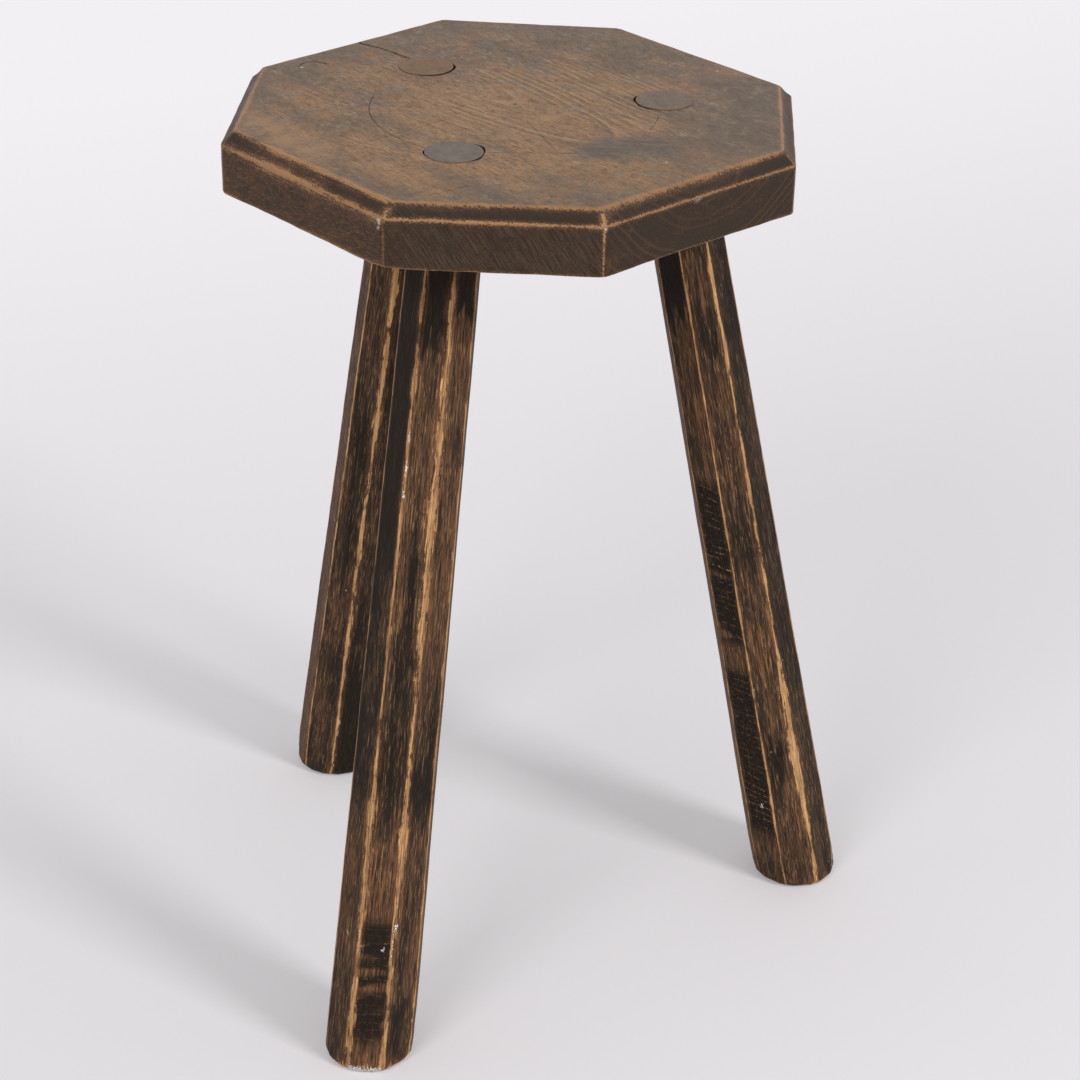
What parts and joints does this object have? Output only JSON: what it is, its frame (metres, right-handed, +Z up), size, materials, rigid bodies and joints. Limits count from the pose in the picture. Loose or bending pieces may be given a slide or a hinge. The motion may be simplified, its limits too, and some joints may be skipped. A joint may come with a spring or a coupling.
{
  "type": "milking stool",
  "caption": "Low wooden stool: an eight-sided plank seat with a chamfered rim on splayed octagonal legs whose round tenons show flush in the top.",
  "frame": {"origin": "on the floor, under the middle of the whole stool's outline", "axes": "+Z up, the seat's front edge faces -Y, +X to the right of someone facing that edge"},
  "size_m": [0.333, 0.3278, 0.475],
  "materials": {
    "seat_wood": "worn, waxed brown wood",
    "leg_wood": "dark stained open-grained wood, worn pale along its edges"
  },
  "bodies": {
    "root": {"seat": "seat_wood", "front_leg": "leg_wood", "right_leg": "leg_wood", "back_leg": "leg_wood"}
  },
  "joints": []
}
